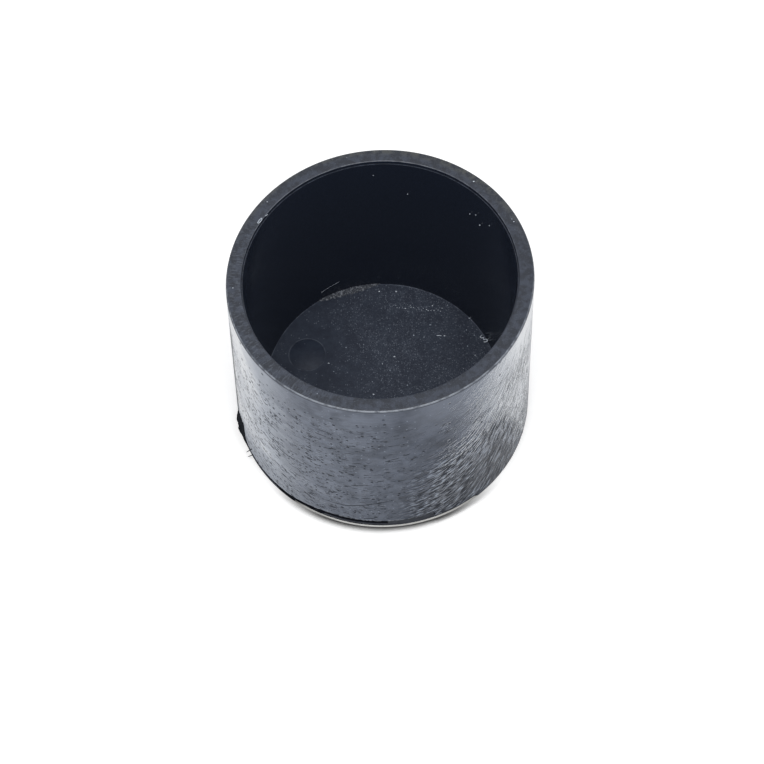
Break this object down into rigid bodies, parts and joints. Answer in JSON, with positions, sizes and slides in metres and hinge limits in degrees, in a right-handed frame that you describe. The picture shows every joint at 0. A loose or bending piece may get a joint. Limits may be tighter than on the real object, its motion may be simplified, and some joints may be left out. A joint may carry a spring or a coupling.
{
  "type": "pipe end cap",
  "caption": "Push-on moulded rubber cap for the open end of a round tube, with a closed flat base.",
  "frame": {"origin": "centre of the closed base, on the plane it stands on", "axes": "+Z along the axis of the bore, out of the mouth; -Y is the front; the torn flap of flash is on the -X side"},
  "size_m": [0.0453, 0.0452, 0.035],
  "materials": {
    "black_rubber": "moulded soft rubber: matt, streaked outside wall, smooth glossy bore"
  },
  "bodies": {
    "root": {"end_cap": "black_rubber"}
  },
  "joints": []
}
